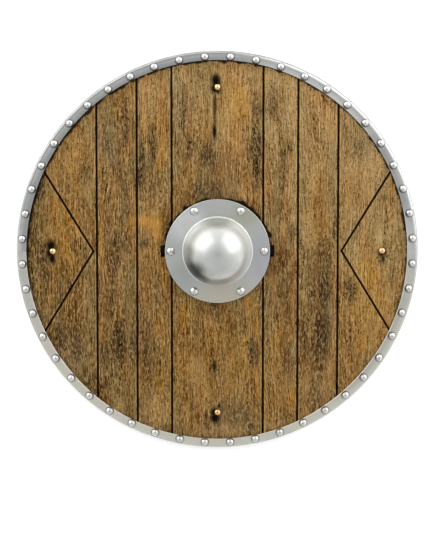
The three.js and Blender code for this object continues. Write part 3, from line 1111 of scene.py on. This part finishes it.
def nail(head_radius, head_height, base, shank, length, sides=24):
    """A dome-headed nail with a square shank."""
    bm = bmesh.new()
    edge = cap_profile(bm, head_radius, head_height, base)
    under = bm.verts.new((0, 0, base))
    bm.edges.new((edge, under))
    spin_around(bm, sides)
    shank_length = length + head_height / 2
    block(bm, (shank, shank, shank_length), base + head_height / 2 - shank_length / 2)
    return bm


def rivet(head_radius, head_height, base, shank_radius, tail_radius, tail_height, sides=28):
    """A round-headed rivet with a flat tail behind the board."""
    bm = bmesh.new()
    edge = cap_profile(bm, head_radius, head_height, base)
    tail_top = board_back - fit_gap
    chain = [edge]
    tail_end = tail_top - tail_height
    for radius, height in (
            (shank_radius, base), (shank_radius, tail_top), (tail_radius, tail_top),
            (tail_radius, tail_end + 0.3 * mm), (tail_radius - 0.4 * mm, tail_end), (0, tail_end)):
        chain.append(bm.verts.new((radius, 0, height)))
    for first, second in zip(chain, chain[1:]):
        bm.edges.new((first, second))
    spin_around(bm, sides)
    return bm


# %% Drive the rim nails
for index in range(rim_nail_count):
    angle = (index + 0.5) * 2 * math.pi / rim_nail_count
    shape = nail(
        head_radius=5.5 * mm, head_height=3.4 * mm, base=head_on_steel, shank=2.6 * mm, length=9 * mm)
    make_piece(
        f"domed_nail_{index + 1:02d}", placed(shape, rim_nail_circle, angle), bright_steel,
        [f"rim_nail_{index + 1:02d}"])
print("rim nails:", rim_nail_count)

# %% [markdown]
# Six rivets hold the boss. The two on the level line also hold the grip bar, and stand for the same CAD
# node as the bar.

# %% Set the boss rivets and the grip bar
boss_rivet_circle = 71.3 * mm
rivet_nodes = ["grip_bar", "boss_rivet_1", "boss_rivet_2", "grip_bar", "boss_rivet_3", "boss_rivet_4"]
for index, node_name in enumerate(rivet_nodes):
    shape = rivet(
        head_radius=6.5 * mm, head_height=4 * mm, base=head_on_steel, shank_radius=2.5 * mm,
        tail_radius=4.5 * mm, tail_height=1.2 * mm)
    make_piece(
        f"domed_rivet_{index + 1}", placed(shape, boss_rivet_circle, index * math.pi / 3), bright_steel,
        [node_name])

grip_thickness = 6 * mm
grip_sink = 1.5 * mm
grip_length = 2 * (recess_half_length - fit_gap)
grip_width = 2 * (recess_half_width - fit_gap)
bm = bmesh.new()
block(bm, (grip_length, grip_width, grip_thickness), board_face - grip_sink - grip_thickness / 2)
long_edges = [edge for edge in bm.edges if abs(edge.verts[0].co.x - edge.verts[1].co.x) > grip_width * 2]
ease(bm, long_edges, 1.8 * mm, 4)
grip = make_piece("black_grip", bm, black_steel, ["grip_bar"])
print("grip bar:", [round(side / mm, 1) for side in grip.dimensions])

# %% Set the brass nails
brass_circle = 250.8 * mm
for index, side in enumerate(("right", "top", "left", "bottom")):
    shape = rivet(
        head_radius=5.2 * mm, head_height=3.4 * mm, base=head_on_board, shank_radius=1.6 * mm,
        tail_radius=3.2 * mm, tail_height=1 * mm)
    make_piece(
        f"brass_stud_{side}", placed(shape, brass_circle, index * math.pi / 2), brass_metal,
        [f"brass_nail_{side}"])

# %% [markdown]
# ## Floor, light and camera
#
# The photograph shows a plain white ground with hardly a shadow. A pale floor alone turns grey under a
# soft light, so it also glows a little.

# %% Lay the floor
scene = bpy.context.scene
scene.view_settings.view_transform = "Standard"
floor_glow = 0.22

floor_mesh = bpy.data.meshes.new("floor")
bm = bmesh.new()
bmesh.ops.create_grid(bm, x_segments=1, y_segments=1, size=6)
bm.to_mesh(floor_mesh)
bm.free()
floor = bpy.data.objects.new("floor", floor_mesh)
scene.collection.objects.link(floor)
floor_paint, tree, shader = new_material("pale floor", Roughness=0.9, Specular_IOR_Level=0.1)
shader.inputs["Base Color"].default_value = (0.92, 0.92, 0.92, 1)
shader.inputs["Emission Color"].default_value = (1, 1, 1, 1)
shader.inputs["Emission Strength"].default_value = floor_glow
floor_mesh.materials.append(floor_paint)

# %% [markdown]
# Metal shows its surroundings, so the studio matters as much as the steel. The sky is brightest near the
# horizon and dimmer overhead. Three patches of it are darker still: one at the lower left, a wide mild one
# on the near side, and a small one overhead, which the dome's top mirrors as the dark spot of a camera.

# %% Make the sky
studio = bpy.data.worlds.new("studio")
scene.world = studio
studio.use_nodes = True
tree = studio.node_tree
sky_place = add_node(tree, "ShaderNodeTexCoord")
sky_direction = sky_place.outputs["Generated"]
overhead = span(axes(sky_direction)[2], 0.10, 0.85, 1.70, 0.94)


def towards(direction, near, far, low):
    """1 in most of the sky, falling to low in a round patch this many degrees about a direction."""
    nearness = combine("DOT_PRODUCT", sky_direction, direction)
    return span(nearness, math.cos(math.radians(far)), math.cos(math.radians(near)), 1.0, low)


dark_corner = towards((-0.74, -0.67, 0.0), 20, 50, 0.50)
near_side = towards((0.25, -0.97, 0.0), 22, 62, 0.62)
camera_patch = towards((0.0, 0.01, 1.0), 4, 14, 0.10)
sky = tree.nodes["Background"]
feed(sky.inputs["Color"], (0.96, 0.98, 1.0, 1))
feed(sky.inputs["Strength"], join("MULTIPLY", (overhead, dark_corner, near_side, camera_patch)))
print("sky:", len(tree.nodes), "nodes")

# %% [markdown]
# Two large soft lights stand low at the upper left and the upper right. They make the dome's two
# highlights, and they graze the grain and the grooves.

# %% Hang the soft lights
light_distance = 3.2
light_size = 3.2


def soft_light(name, direction, power):
    """A square soft light that looks at the shield."""
    lamp = bpy.data.lights.new(name, "AREA")
    lamp.shape = "SQUARE"
    lamp.size = light_size
    lamp.energy = power
    holder = bpy.data.objects.new(name, lamp)
    outwards = Vector(direction).normalized()
    holder.location = outwards * light_distance
    holder.rotation_euler = outwards.to_track_quat("Z", "Y").to_euler()
    scene.collection.objects.link(holder)


soft_light("upper left light", (-0.66, 0.54, 0.42), 51)
soft_light("upper right light", (0.66, 0.48, 0.42), 55)

# %% [markdown]
# The camera stands five metres above the shield, tilted nine degrees towards its top, with a long lens.
# Its place, its aim and the lens were fitted to the photograph's outline, grooves and nails.

# %% Set the camera
camera_tilt = math.radians(9.18)
camera_yaw = math.radians(0.60)
camera_distance = 5.042
aim = Vector((0.0002, -0.0293, 0))
camera_place = camera_distance * Vector((
    -math.sin(camera_yaw), math.sin(camera_tilt) * math.cos(camera_yaw),
    math.cos(camera_tilt) * math.cos(camera_yaw)))
forward = (aim - camera_place).normalized()
right = forward.cross(Vector((0, 1, 0))).normalized()
upwards = right.cross(forward)
lens = bpy.data.cameras.new("camera")
lens.lens = 221.4
lens.sensor_width = 36
camera = bpy.data.objects.new("camera", lens)
turned = Matrix((right, upwards, -forward)).transposed().to_4x4()
camera.matrix_world = Matrix.Translation(camera_place) @ turned
scene.collection.objects.link(camera)
scene.camera = camera
print("camera at", [round(value, 3) for value in camera_place])
